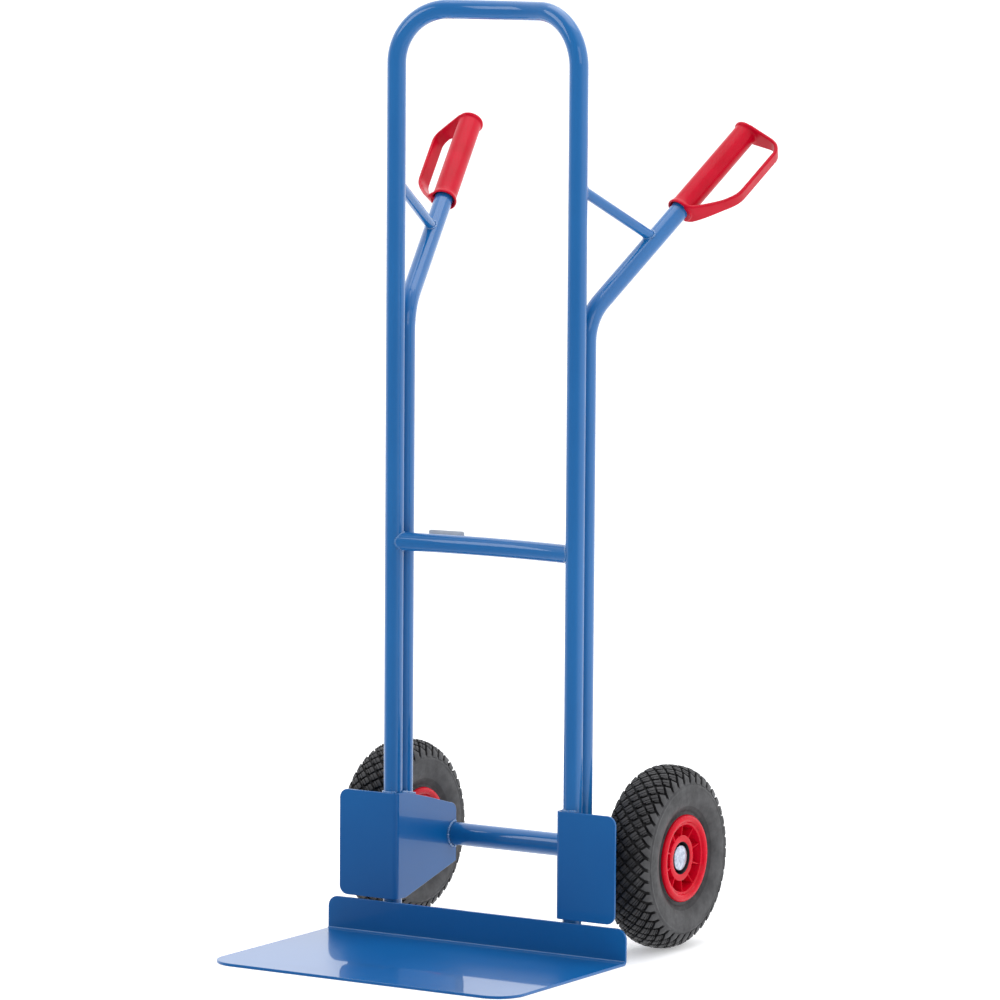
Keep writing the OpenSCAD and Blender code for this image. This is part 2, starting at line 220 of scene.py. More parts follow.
class Finish:
    """One procedural material: a shader with helpers that add noise to its colour, roughness and bump."""

    def __init__(self, name, **values):
        self.mat = bpy.data.materials.new(name)
        self.mat.use_nodes = True
        self.tree = self.mat.node_tree
        self.shader = self.tree.nodes["Principled BSDF"]
        for key, value in values.items():
            self.shader.inputs[key.replace("_", " ")].default_value = value
        self.place = self.tree.nodes.new("ShaderNodeTexCoord").outputs["Object"]
        self.height = None

    def noise(self, scale, detail=3, rough=0.5, stretch=None):
        """Value of a noise with the given number of spots a metre."""
        node = self.tree.nodes.new("ShaderNodeTexNoise")
        node.inputs["Scale"].default_value = scale
        node.inputs["Detail"].default_value = detail
        node.inputs["Roughness"].default_value = rough
        source = self.place
        if stretch:
            mapping = self.tree.nodes.new("ShaderNodeMapping")
            mapping.inputs["Scale"].default_value = stretch
            self.tree.links.new(self.place, mapping.inputs["Vector"])
            source = mapping.outputs["Vector"]
        self.tree.links.new(source, node.inputs["Vector"])
        return node.outputs["Fac"]

    def remap(self, value, low, high, out_low, out_high):
        """Carries the range low to high over to out_low to out_high."""
        node = self.tree.nodes.new("ShaderNodeMapRange")
        sizes = {"From Min": low, "From Max": high, "To Min": out_low, "To Max": out_high}
        for key, size in sizes.items():
            node.inputs[key].default_value = size
        self.tree.links.new(value, node.inputs["Value"])
        return node.outputs[0]

    def colours(self, value, first, second, low=0.35, high=0.65):
        """Base colour that runs from first to second with the value."""
        node = self.tree.nodes.new("ShaderNodeMixRGB")
        node.inputs[1].default_value = (*first, 1)
        node.inputs[2].default_value = (*second, 1)
        self.tree.links.new(self.remap(value, low, high, 0, 1), node.inputs[0])
        self.tree.links.new(node.outputs[0], self.shader.inputs["Base Color"])

    def roughness(self, value, low, high):
        """Roughness that runs from low to high with the value."""
        self.tree.links.new(self.remap(value, 0.3, 0.7, low, high), self.shader.inputs["Roughness"])

    def bump(self, value, depth, strength=1.0):
        """Bump of the given depth in metres, on top of any bump added before."""
        node = self.tree.nodes.new("ShaderNodeBump")
        node.inputs["Distance"].default_value = depth
        node.inputs["Strength"].default_value = strength
        self.tree.links.new(value, node.inputs["Height"])
        if self.height:
            self.tree.links.new(self.height, node.inputs["Normal"])
        self.height = node.outputs[0]
        self.tree.links.new(self.height, self.shader.inputs["Normal"])


def powder_coat(name, first, second, coat=1.0, peel=0.00001):
    """Glossy powder coat with a faint orange peel and slow shade changes."""
    f = Finish(name, Roughness=0.34, Coat_Weight=coat, Coat_Roughness=0.035, Coat_IOR=1.45)
    f.shader.inputs["Specular IOR Level"].default_value = 0.15
    f.colours(f.noise(5, 2), first, second)
    f.bump(f.noise(330, 2), peel)
    return f.mat


def weld_coat():
    """The same paint over a rippled weld: glossier and lumpy."""
    f = Finish("weld_coat", Roughness=0.25, Coat_Weight=1.0, Coat_Roughness=0.03)
    f.colours(f.noise(60, 2), (0.020, 0.125, 0.33), (0.028, 0.150, 0.38))
    f.bump(f.noise(700, 2), 0.0002)
    return f.mat


def red_plastic(name, first, second, rough, grain):
    """Moulded plastic with a fine grain."""
    f = Finish(name, Coat_Weight=0.06, Coat_Roughness=0.15)
    f.shader.inputs["Specular IOR Level"].default_value = 0.10
    f.colours(f.noise(30, 3), first, second)
    f.roughness(f.noise(120, 3), rough - 0.05, rough + 0.05)
    f.bump(f.noise(1800, 2), grain)
    return f.mat


def rubber(name, first, second, rough):
    """Matt rubber with dusty patches and a fine grain."""
    f = Finish(name)
    f.shader.inputs["Specular IOR Level"].default_value = 0.35
    f.colours(f.noise(45, 4, 0.6), first, second)
    f.roughness(f.noise(200, 3), rough - 0.08, rough + 0.06)
    f.bump(f.noise(1400, 3), 0.00004)
    f.bump(f.noise(160, 3), 0.00010)
    return f.mat


def plated(name, first, second, rough):
    """Zinc-plated or plain steel with fine turning marks."""
    f = Finish(name, Metallic=1.0)
    f.colours(f.noise(140, 4, 0.7), first, second)
    f.roughness(f.noise(90, 4), rough - 0.06, rough + 0.08)
    f.bump(f.noise(260, 2, 0.5, (9, 1, 1)), 0.00002)
    return f.mat


def black_plastic():
    """Black moulded plastic."""
    f = Finish("black_plastic")
    f.colours(f.noise(80, 3), (0.008, 0.008, 0.011), (0.015, 0.015, 0.018))
    f.roughness(f.noise(150, 3), 0.35, 0.5)
    f.bump(f.noise(1200, 2), 0.00004)
    return f.mat


def label_foil():
    """Blank plate: matt silver-white with a faint, uneven tone."""
    f = Finish("label_foil", Metallic=0.2)
    f.colours(f.noise(90, 3), (0.62, 0.63, 0.63), (0.72, 0.73, 0.72))
    f.roughness(f.noise(200, 3), 0.3, 0.42)
    f.bump(f.noise(600, 2), 0.00002)
    return f.mat


TUBE_PAINT = powder_coat("blue_tube", (0.004, 0.104, 0.310), (0.006, 0.116, 0.335), 0.85)
# Plate paint: the same blue powder coat as the tubes, made darker as painted shade on the broad plate faces.
SHADED_PLATE_PAINT = powder_coat("blue_plate", (0.0005, 0.088, 0.285), (0.001, 0.098, 0.305), 0.55)
WELD_PAINT = weld_coat()
GRIP_RED = red_plastic("red_grip", (0.43, 0.0005, 0.013), (0.49, 0.001, 0.018), 0.34, 0.00003)
RIM_RED = red_plastic("red_rim", (0.50, 0.001, 0.012), (0.58, 0.002, 0.019), 0.24, 0.00001)
SIDE_RUBBER = rubber("side_rubber", (0.029, 0.029, 0.031), (0.055, 0.055, 0.058), 0.58)
# Darker rubber for the block tops, also used as painted shade on the sidewall band next to the rim.
BLOCK_AND_RIM_SHADE_RUBBER = rubber("block_rubber_and_rim_shade", (0.016, 0.016, 0.018), (0.038, 0.037, 0.039), 0.62)
# Near-black rubber for the tread floor and the block sides: painted shade in the grooves, the same rubber as
# the blocks.
GROOVE_SHADE_RUBBER = rubber("groove_painted_shade", (0.006, 0.006, 0.007), (0.012, 0.012, 0.013), 0.75)
TUBE_RUBBER = rubber("tube_rubber", (0.010, 0.010, 0.010), (0.018, 0.018, 0.018), 0.55)
ZINC = plated("zinc", (0.26, 0.29, 0.38), (0.56, 0.60, 0.70), 0.30)
STEEL = plated("steel", (0.52, 0.52, 0.52), (0.62, 0.62, 0.62), 0.30)
BRASS = plated("valve_brass", (0.55, 0.40, 0.18), (0.66, 0.50, 0.24), 0.30)
BLACK = black_plastic()
LABEL = label_foil()

# ---------- mesh helpers ----------


class Shape:
    """Closed parts in millimetres, gathered into one piece."""

    def __init__(self, *materials):
        self.verts = []
        self.faces = []
        self.slots = []
        self.materials = materials

    def add(self, verts, faces, slot=0):
        """Adds vertices and faces. slot is one material number, or one for each face."""
        base = len(self.verts)
        self.verts += [Vector(v) for v in verts]
        self.faces += [tuple(base + i for i in face) for face in faces]
        self.slots += [slot] * len(faces) if isinstance(slot, int) else slot

    def loops(self, loops, closed=False, slot=0):
        """Joins loops of equal length one after another, and caps both ends unless the row closes."""
        n = len(loops[0])
        verts = [v for loop in loops for v in loop]
        faces = []
        for k in range(len(loops) if closed else len(loops) - 1):
            a = k * n
            b = (k + 1) % len(loops) * n
            faces += [(a + i, a + (i + 1) % n, b + (i + 1) % n, b + i) for i in range(n)]
        if not closed:
            last = (len(loops) - 1) * n
            faces += [tuple(range(n)), tuple(last + i for i in range(n))]
        self.add(verts, faces, slot)

    def revolve(self, profile, steps, slots=0):
        """Turns a closed profile of (radius, height) points round local Z, with one slot number a point."""
        loops = []
        for k in range(steps):
            a = 2 * math.pi * k / steps
            loops.append([(r * math.cos(a), r * math.sin(a), z) for r, z in profile])
        per_face = slots if isinstance(slots, int) else list(slots) * steps
        self.loops(loops, closed=True, slot=per_face)

    def build(self, name, place=None, mirror=False, sharp=35):
        """Makes the piece in metres, with outward faces, smooth except at edges sharper than the angle."""
        place = place or Matrix.Identity(4)
        flip = Matrix.Diagonal((-1, 1, 1, 1)) if mirror else Matrix.Identity(4)
        mesh = bpy.data.meshes.new(name)
        mesh.from_pydata([flip @ place @ v * MM for v in self.verts], [], self.faces)
        for mat in self.materials:
            mesh.materials.append(mat)
        mesh.polygons.foreach_set("material_index", self.slots)
        bm = bmesh.new()
        bm.from_mesh(mesh)
        bmesh.ops.recalc_face_normals(bm, faces=bm.faces)
        bm.to_mesh(mesh)
        bm.free()
        mesh.shade_smooth()
        mesh.set_sharp_from_angle(angle=math.radians(sharp))
        piece = bpy.data.objects.new(name, mesh)
        bpy.context.scene.collection.objects.link(piece)
        return piece


def flat_shading(piece):
    """Keeps broad faces flat next to their rounded edges."""
    piece.modifiers.new("normals", "WEIGHTED_NORMAL").keep_sharp = True


def finish_piece(piece, body, slot, *replaced):
    """Hangs a piece on its body and hides the CAD parts that it replaces."""
    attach(piece, body)
    if replaced:
        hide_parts(*replaced)
    return piece


def arc(cx, cy, r, start, end, steps):
    """Points of an arc, both ends included, angles in degrees."""
    span = [math.radians(start + (end - start) * k / steps) for k in range(steps + 1)]
    return [(cx + r * math.cos(a), cy + r * math.sin(a)) for a in span]


def path_frames(path, closed=False):
    """Two cross directions at each point of a path, turned as little as possible from point to point."""
    n = len(path)
    tangents = []
    for i in range(n):
        a = path[(i - 1) % n] if closed or i else path[0]
        b = path[(i + 1) % n] if closed or i < n - 1 else path[-1]
        tangents.append((b - a).normalized())
    side = tangents[0].orthogonal().normalized()
    frames = []
    for t in tangents:
        side = (side - t * side.dot(t)).normalized()
        frames.append((side, t.cross(side)))
    return frames


def tube(shape, path, r, wall, steps=40):
    """Hollow tube with open ends along a path."""
    frames = path_frames(path)

    def ring(i, radius):
        u, v = frames[i]
        turns = [2 * math.pi * k / steps for k in range(steps)]
        return [path[i] + (u * math.cos(a) + v * math.sin(a)) * radius for a in turns]

    order = range(len(path))
    outer = [ring(i, r) for i in order]
    inner = [ring(i, r - wall) for i in reversed(order)]
    loops = outer + inner
    verts = [p for loop in loops for p in loop]
    faces = []
    for k in range(len(loops)):
        a = k * steps
        b = (k + 1) % len(loops) * steps
        faces += [(a + i, a + (i + 1) % steps, b + (i + 1) % steps, b + i) for i in range(steps)]
    shape.add(verts, faces)


def bend(start, along, towards, r, turn, steps):
    """Points of a bend that leaves start in one direction and turns towards another, start left out."""
    points = []
    for k in range(1, steps + 1):
        a = turn * k / steps
        points.append(start + along * (r * math.sin(a)) + towards * (r * (1 - math.cos(a))))
    return points


# ---------- tubes ----------


def hoop_path():
    """Centre line of the hoop from the left foot to the right one."""
    out = Vector((math.cos(BOW_ANGLE), math.sin(BOW_ANGLE), 0))
    foot = Vector((-STILE_X, 0, STILE_Z0))
    corner = Vector((-STILE_X, 0, HOOP_Z - HOOP_BEND_R))
    left = [foot, corner] + bend(corner, UP, out, HOOP_BEND_R, math.pi / 2, 24)
    top_r = -left[-1].x / math.sin(BOW_ANGLE)
    centre = left[-1] - Vector((-math.sin(BOW_ANGLE), math.cos(BOW_ANGLE), 0)) * top_r
    top = []
    for k in range(1, 12):
        a = BOW_ANGLE * (1 - k / 6)
        top.append(centre + Vector((-math.sin(a), math.cos(a), 0)) * top_r)
    right = [Vector((-p.x, p.y, p.z)) for p in reversed(left)]
    return left + top + right


def handle_dir():
    """Direction of the right handle."""
    flat = Vector((math.sin(HANDLE_SPLAY), math.cos(HANDLE_SPLAY), 0))
    return flat * math.sin(HANDLE_TILT) + UP * math.cos(HANDLE_TILT)


def handle_corner():
    """Point where the upright line and the handle line of the right side meet."""
    return Vector((STILE_X, HANDLE_Y, HANDLE_Z))


def handle_path():
    """Centre line of the right handle tube from its foot to its end inside the grip."""
    cut = HANDLE_BEND_R * math.tan(HANDLE_TILT / 2)
    flat = Vector((math.sin(HANDLE_SPLAY), math.cos(HANDLE_SPLAY), 0))
    foot = Vector((STILE_X, HANDLE_Y, HANDLE_Z0))
    start = Vector((STILE_X, HANDLE_Y, HANDLE_Z - cut))
    path = [foot, start] + bend(start, UP, flat, HANDLE_BEND_R, HANDLE_TILT, 16)
    return path + [handle_corner() + handle_dir() * HANDLE_LEN]


def make_tubes():
    """Hoop and both handle tubes, each one smooth bent tube."""
    hoop = Shape(TUBE_PAINT)
    tube(hoop, hoop_path(), TUBE_R, TUBE_WALL)
    finish_piece(hoop.build("hoop_tube"), "frame", "blue_tube", "main_hoop")
    for side in ("left", "right"):
        handle = Shape(TUBE_PAINT)
        tube(handle, handle_path(), TUBE_R, TUBE_WALL)
        piece = handle.build(f"{side}_bent_handle", mirror=side == "left")
        finish_piece(piece, "frame", "blue_tube", f"{side}_handle_tube")


make_tubes()

# ---------- bent plates ----------


def inset(outline, depth):
    """Outline moved inwards. It runs anticlockwise in its own plane."""
    n = len(outline)
    moved = []
    for i in range(n):
        p = Vector(outline[i])
        before = (p - Vector(outline[i - 1])).normalized()
        after = (Vector(outline[(i + 1) % n]) - p).normalized()
        n1 = Vector((-before.y, before.x))
        n2 = Vector((-after.y, after.x))
        moved.append(p + (n1 + n2) * (depth / (1 + n1.dot(n2))))
    return moved


def bent_plate(shape, rows, place, thick, fillet=0.9, steps=4):
    """Sheet whose outline is given by rows (u, low, high) of its flat form, with rounded edges.

    place(u, w) gives the point and the outward normal of the bent reference face."""
    outline = [(u, low) for u, low, high in rows] + [(u, high) for u, low, high in reversed(rows)]
    half = [(fillet * (1 - math.sin(a)), fillet * (1 - math.cos(a)))
            for a in (math.pi / 2 * k / steps for k in range(steps + 1))]
    levels = half + [(i, thick - d) for i, d in reversed(half)]
    loops = []
    for edge, depth in levels:
        points = []
        for u, w in inset(outline, edge):
            point, normal = place(u, w)
            points.append(point - normal * depth)
        loops.append(points)
    n = len(outline)
    verts = [p for loop in loops for p in loop]
    faces = []
    for k in range(len(loops) - 1):
        a, b = k * n, (k + 1) * n
        faces += [(a + i, a + (i + 1) % n, b + (i + 1) % n, b + i) for i in range(n)]
    last = (len(loops) - 1) * n
    for base in (0, last):
        faces += [(base + i, base + i + 1, base + n - 2 - i, base + n - 1 - i) for i in range(len(rows) - 1)]
    shape.add(verts, faces)


def rounded_end(r, steps=8):
    """Steps of a rounded corner: (distance from the edge, how far the side still stands in)."""
    turns = [math.pi / 2 * k / steps for k in range(steps + 1)]
    return [(r - r * math.cos(a), r - r * math.sin(a)) for a in turns]


TOE_HALF, TOE_FRONT = box_mm("toe_plate")[1].x, box_mm("toe_plate")[0].y
TOE_TOP = box_mm("toe_plate")[1].z
TOE_FRONT_R = 42.0
TOE_LIP_R = 15.0


def toe_place(u, w):
    """Top face of the toe plate, then the front face of its upturned lip."""
    flat = PLATE_BACK - BEND_RO - TOE_FRONT
    turn = BEND_RI * math.pi / 2
    if u <= flat:
        return Vector((w, TOE_FRONT + u, PLATE_T)), UP
    if u < flat + turn:
        a = (u - flat) / BEND_RI
        normal = Vector((0, -math.sin(a), math.cos(a)))
        return Vector((w, PLATE_BACK - BEND_RO, BEND_RO)) - normal * BEND_RI, normal
    return Vector((w, PLATE_FRONT, BEND_RO + u - flat - turn)), Vector((0, -1, 0))


def make_toe_plate():
    """Flat toe plate with a rounded bend into its back lip."""
    flat = PLATE_BACK - BEND_RO - TOE_FRONT
    turn = BEND_RI * math.pi / 2
    length = flat + turn + TOE_TOP - BEND_RO
    rows = [(d, TOE_HALF - cut) for d, cut in rounded_end(TOE_FRONT_R, 10)]
    rows += [(flat + turn * k / 6, TOE_HALF) for k in range(7)]
    rows += [(length - d, TOE_HALF - cut) for d, cut in reversed(rounded_end(TOE_LIP_R))]
    shape = Shape(SHADED_PLATE_PAINT)
    bent_plate(shape, [(u, -half, half) for u, half in rows], toe_place, PLATE_T)
    piece = shape.build("toe_plate_sheet")
    flat_shading(piece)
    finish_piece(piece, "frame", "blue_plate", "toe_plate")


BRACKET_LO, BRACKET_HI = box_mm("right_wheel_bracket")
SIDE_IN = BRACKET_LO.x
FRONT_R = 13.0
REAR_R = 15.0
LOWER_FRONT = Vector((8.0, BRACKET_LO.z))
LOWER_REAR = Vector((BRACKET_HI.y, 88.5))
UPPER_FRONT = Vector((5.0, BRACKET_HI.z))
UPPER_REAR = Vector((BRACKET_HI.y, 171.0))


def bracket_place(u, w):
    """Front face of the guard plate, then the inner face of the side plate."""
    flat = BRACKET_HI.x - SIDE_IN - BEND_RO
    turn = BEND_RO * math.pi / 2
    if u <= flat:
        return Vector((BRACKET_HI.x - u, PLATE_FRONT, w)), Vector((0, -1, 0))
    if u < flat + turn:
        a = (u - flat) / BEND_RO
        normal = Vector((-math.sin(a), -math.cos(a), 0))
        return Vector((SIDE_IN + BEND_RO, PLATE_FRONT + BEND_RO, w)) + normal * BEND_RO, normal
    return Vector((SIDE_IN, PLATE_FRONT + BEND_RO + u - flat - turn, w)), Vector((-1, 0, 0))


def between(a, b, x):
    """Height of the line through a and b at x."""
    return a.y + (b.y - a.y) * (x - a.x) / (b.x - a.x)


def bracket_rows():
    """Lower and upper edge of the bracket along its flat form, from the outer edge to the rear."""
    low, high = BRACKET_LO.z, BRACKET_HI.z
    flat = BRACKET_HI.x - SIDE_IN - BEND_RO
    turn = BEND_RO * math.pi / 2
    rows = [(d, low + cut, high - cut) for d, cut in rounded_end(FRONT_R)]
    rows += [(flat + turn * k / 8, low, high) for k in range(9)]
    corner_z = UPPER_REAR.y - 12.5
    depths = [UPPER_FRONT.x, LOWER_FRONT.x, 40, 75, BRACKET_HI.y - REAR_R]
    for y in depths:
        lower = low if y <= LOWER_FRONT.x else between(LOWER_FRONT, LOWER_REAR, y)
        upper = high if y <= UPPER_FRONT.x else between(UPPER_FRONT, UPPER_REAR, y)
        if y == depths[-1]:
            upper = corner_z + REAR_R
        rows.append((flat + turn + y - PLATE_FRONT - BEND_RO, lower, upper))
    for d, cut in list(reversed(rounded_end(REAR_R)))[1:]:
        y = BRACKET_HI.y - d
        u = flat + turn + y - PLATE_FRONT - BEND_RO
        rows.append((u, between(LOWER_FRONT, LOWER_REAR, y), corner_z + REAR_R - cut))
    return rows


def make_brackets():
    """Both wheel brackets, each a guard plate bent into a side plate."""
    for side in ("left", "right"):
        shape = Shape(SHADED_PLATE_PAINT)
        bent_plate(shape, bracket_rows(), bracket_place, PLATE_T)
        piece = shape.build(f"{side}_bracket_sheet", mirror=side == "left")
        flat_shading(piece)
        finish_piece(piece, "frame", "blue_plate", f"{side}_wheel_bracket")


make_toe_plate()
make_brackets()

# ---------- weld beads ----------


def resample(path, step, closed):
    """Points a fixed step apart along a path."""
    points = path + [path[0]] if closed else path
    marks = [0.0]
    for a, b in zip(points, points[1:]):
        marks.append(marks[-1] + (b - a).length)
    count = max(4, round(marks[-1] / step))
    out = []
    for k in range(count if closed else count + 1):
        s = marks[-1] * k / count
        i = min(max(bisect.bisect_right(marks, s) - 1, 0), len(points) - 2)
        span = marks[i + 1] - marks[i] or 1
        out.append(points[i].lerp(points[i + 1], (s - marks[i]) / span))
    return out


def bead(shape, path, r, seed, closed=False):
    """Weld bead along a path: a rope of overlapping drops."""
    rng = random.Random(seed)
    path = resample(path, 0.7, closed)
    frames = path_frames(path, closed)
    loops = []
    swell = 0.0
    for i, p in enumerate(path):
        if i % 4 == 0:
            swell = rng.uniform(-0.12, 0.14)
        ripple = 0.13 * math.cos(2 * math.pi * i / 4)
        end = min(i, len(path) - 1 - i)
        taper = 1 if closed or end > 3 else (0.45, 0.72, 0.88, 0.96)[end]
        u, v = frames[i]
        size = r * (1 + ripple + swell) * taper
        turns = [2 * math.pi * k / 10 for k in range(10)]
        loops.append([p + (u * math.cos(a) + v * math.sin(a)) * size for a in turns])
    shape.loops(loops, closed=closed)


def saddle(point, axis, r, post_point, post_axis, post_r, steps=48):
    """Curve where a round bar meets a round tube, on the side that the bar comes from."""
    u, v = path_frames([point, point + axis])[0]
    curve = []
    for k in range(steps):
        a = 2 * math.pi * k / steps
        p = point + (u * math.cos(a) + v * math.sin(a)) * r - post_point
        flat_p = p - post_axis * p.dot(post_axis)
        flat_a = axis - post_axis * axis.dot(post_axis)
        qa = flat_a.dot(flat_a)
        qb = 2 * flat_p.dot(flat_a)
        qc = flat_p.dot(flat_p) - post_r ** 2
        root = math.sqrt(max(qb * qb - 4 * qa * qc, 0))
        curve.append(p + post_point + axis * ((-qb - root) / (2 * qa)))
    return curve


def line(*points):
    """Path through the given points."""
    return [Vector(p) for p in points]


def stile_arc(x, y, z, start, end, r):
    """Part of a level ring round an upright, angles in degrees."""
    return [Vector((x + px, y + py, z)) for px, py in arc(0, 0, r, start, end, 14)]


def frame_welds(shape):
    """Weld beads of the right side."""
    foot = Vector((STILE_X, 0, BRACE_Z))
    head = handle_corner() + handle_dir() * BRACE_T
    axis = (head - foot).normalized()
    bead(shape, saddle(head, -axis, BRACE_R + 0.4, foot, UP, TUBE_R + 0.2), 1.5, 11, closed=True)
    top = saddle(foot, axis, BRACE_R + 0.4, handle_corner(), handle_dir(), TUBE_R + 0.2)
    bead(shape, top, 1.5, 12, closed=True)
    bar_r = (STILE_X ** 2 + CROSSBAR_SAG ** 2) / (2 * CROSSBAR_SAG)
    slope = math.asin(STILE_X / bar_r)
    bar = Vector((math.cos(slope), -math.sin(slope), 0))
    stile = Vector((STILE_X, 0, CROSSBAR_Z))
    joint = saddle(stile - bar * 60, bar, CROSSBAR_R * 0.94, stile, UP, TUBE_R + 0.3)
    bead(shape, joint, 1.7, 13, closed=True)
    plate_top = BRACKET_HI.z
    bead(shape, stile_arc(STILE_X, 0, plate_top + 0.3, -142, -38, TUBE_R + 1.0), 2.0, 14)
    edge = STILE_X - TUBE_R - 0.6
    seam = line((edge, 2, plate_top + 0.2), (edge + 0.4, 13, plate_top - 1.2), (edge, 36, plate_top - 6.4))
    bead(shape, seam, 1.9, 15)
    for seed, (z0, z1) in enumerate([(58, 100), (150, 198)]):
        x, y = STILE_X + 8.6, PLATE_BACK + 1.9
        bead(shape, line((x, y, z0), (x, y, z1)), 1.9, 20 + seed)
    bead(shape, line((STILE_X - 8.6, PLATE_BACK + 1.9, 10), (STILE_X - 8.6, PLATE_BACK + 1.9, 48)), 1.9, 22)
    bead(shape, line((STILE_X + 8.6, PLATE_BACK + 1.9, 10), (STILE_X + 8.6, PLATE_BACK + 1.9, 48)), 1.9, 23)
    bend_start = HANDLE_Z - HANDLE_BEND_R * math.tan(HANDLE_TILT / 2)
    for seed, z in enumerate((bend_start - 14, CROSSBAR_Z, 330)):
        for k, way in enumerate((-1, 1)):
            x = STILE_X + way * 2.9
            bead(shape, line((x, HANDLE_Y / 2, z - 13), (x, HANDLE_Y / 2, z + 13)), 2.1, 30 + 2 * seed + k)
    turn = math.degrees(math.acos((BRACKET_HI.y - WHEEL_C.y - 1.5) / AXLE_WELD_R))
    for k, x in enumerate((SIDE_IN - 0.2, SIDE_IN + PLATE_T + 0.2)):
        ring = [Vector((x, WHEEL_C.y + a, WHEEL_C.z + b))
                for a, b in arc(0, 0, AXLE_WELD_R, turn, 360 - turn, 30)]
        bead(shape, ring, 2.3, 40 + k)


def spatter(shape, centre, spread, count, seed):
    """Fine weld drops stuck to the paint round a joint."""
    rng = random.Random(seed)
    for _ in range(count):
        p = centre + Vector([rng.uniform(-1, 1) * s for s in spread])
        r = rng.uniform(0.25, 0.5)
        loops = []
        for z, k in ((-0.9, 0.4), (-0.4, 0.92), (0.4, 0.92), (0.9, 0.4)):
            ring = arc(p.x, p.y, r * k, 0, 300, 5)
            loops.append([(x, y, p.z + r * z) for x, y in ring])
        shape.loops(loops)


def make_welds():
    """The weld beads of each side as one piece."""
    for side in ("left", "right"):
        shape = Shape(WELD_PAINT)
        frame_welds(shape)
        spatter(shape, Vector((STILE_X - 4, -TUBE_R - 0.1, BRACKET_HI.z + 9)), (5, 0.6, 5), 9, 51)
        spatter(shape, Vector((SIDE_IN - 0.05, WHEEL_C.y, WHEEL_C.z)), (0.1, 24, 24), 14, 52)
        piece = shape.build(f"{side}_welds", mirror=side == "left", sharp=60)
        finish_piece(piece, "frame", "blue_plate")


make_welds()

# ---------- grips ----------

FLARE = 8.0


def guard_path():
    """Middle line of the hand guard, as (distance from the grip axis, distance along it)."""
    reach = GUARD_REACH
    points = [(8.0, 2.6), (16.0, 4.4), (24.0, 11.5), (33.0, 22.5), (42.0, 35.0), (49.5, 46.5), (55.0, 57.5),
              (57.4, 66.0), (reach, 76.0), (reach, 110.0)]
    corner = arc(reach - 17.5, GRIP_LEN - 20, 17.5, 0, 90, 10)
    return points + corner + [(28.0, GRIP_LEN - 2.5), (14.0, GRIP_LEN - 2.5), (6.0, GRIP_LEN - 2.5)]


def smooth_path(points, step):
    """Catmull-Rom curve through flat points, sampled about every step."""
    p = [Vector(q) for q in points]
    p = [p[0] * 2 - p[1]] + p + [p[-1] * 2 - p[-2]]
    out = []
    for i in range(1, len(p) - 2):
        a, b, c, d = p[i - 1:i + 3]
        n = max(1, round((c - b).length / step))
        for k in range(n):
            t = k / n
            out.append((b * 2 + (c - a) * t + (a * 2 - b * 5 + c * 4 - d) * t ** 2
                        + (b * 3 - a - c * 3 + d) * t ** 3) / 2)
    return out + [p[-2]]


def guard_half_width(d):
    """Half the width of the guard band at a distance from the grip axis."""
    start, end = 5.0, GUARD_REACH - 12
    t = min(max((d - start) / (end - start), 0), 1)
    return COLLAR_R - (COLLAR_R - GUARD_HALF_W) * t


def guard_section(half_w, half_t, r=1.3):
    """Rounded rectangle across the band."""
    points = []
    for sx, sy, start in ((1, 1, 0), (-1, 1, 90), (-1, -1, 180), (1, -1, 270)):
        points += arc(sx * (half_w - r), sy * (half_t - r), r, start, start + 90, 3)
    return points


def grip_place():
    """Frame of the right grip: X towards the guard, Z along the handle."""
    place = Matrix.Translation(handle_corner()) @ Matrix.Rotation(-HANDLE_SPLAY, 4, "Z")
    place = place @ Matrix.Rotation(-HANDLE_TILT, 4, "X") @ Matrix.Rotation(GUARD_TURN, 4, "Z")
    return place @ Matrix.Translation((0, 0, GRIP_T0))


def grip_shape():
    """Sleeve with a flared mouth, end plate and guard band, as overlapping closed parts."""
    shape = Shape(GRIP_RED)
    mouth = [(TUBE_R + 0.1, GRIP_LEN - 6), (TUBE_R + 0.1, 9), (TUBE_R + 0.9, 5), (16.4, 0.8), (17.2, 0)]
    collar = [(18.2, 0), (COLLAR_R, 0.8), (COLLAR_R, 3.4), (18.3, 5), (17.2, FLARE), (SLEEVE_R, FLARE + 5)]
    top = [(SLEEVE_R, GRIP_LEN - 8), (17.0, GRIP_LEN - 6.2)]
    shape.revolve(mouth + collar + top + [(14.5, GRIP_LEN - 5.5)], 72)
    plate = [(0.01, GRIP_LEN - 5.6), (17.6, GRIP_LEN - 5.6), (18.6, GRIP_LEN - 5.1), (COLLAR_R, GRIP_LEN - 4)]
    plate += [(COLLAR_R, GRIP_LEN - 1.6), (18.4, GRIP_LEN - 0.5), (17.0, GRIP_LEN), (0.01, GRIP_LEN)]
    shape.revolve(plate, 72)
    path = smooth_path(guard_path(), 3)
    loops = []
    for i, p in enumerate(path):
        ahead = (path[min(i + 1, len(path) - 1)] - path[max(i - 1, 0)]).normalized()
        normal = Vector((ahead.y, -ahead.x))
        half = guard_half_width(p.x)
        loops.append([(p.x + normal.x * t, w, p.y + normal.y * t)
                      for w, t in guard_section(half, GUARD_T / 2)])
    shape.loops(loops)
    return shape


def melt(piece, voxel, smooth, keep):
    """Fuses the overlapping parts of a piece into one skin with soft inner corners."""
    remesh = piece.modifiers.new("fuse", "REMESH")
    remesh.mode = "VOXEL"
    remesh.voxel_size = voxel
    ease = piece.modifiers.new("ease", "SMOOTH")
    ease.factor = 0.5
    ease.iterations = smooth
    lean = piece.modifiers.new("lean", "DECIMATE")
    lean.ratio = keep
    graph = bpy.context.evaluated_depsgraph_get()
    mesh = bpy.data.meshes.new_from_object(piece.evaluated_get(graph))
    piece.modifiers.clear()
    piece.data = mesh
    mesh.shade_smooth()


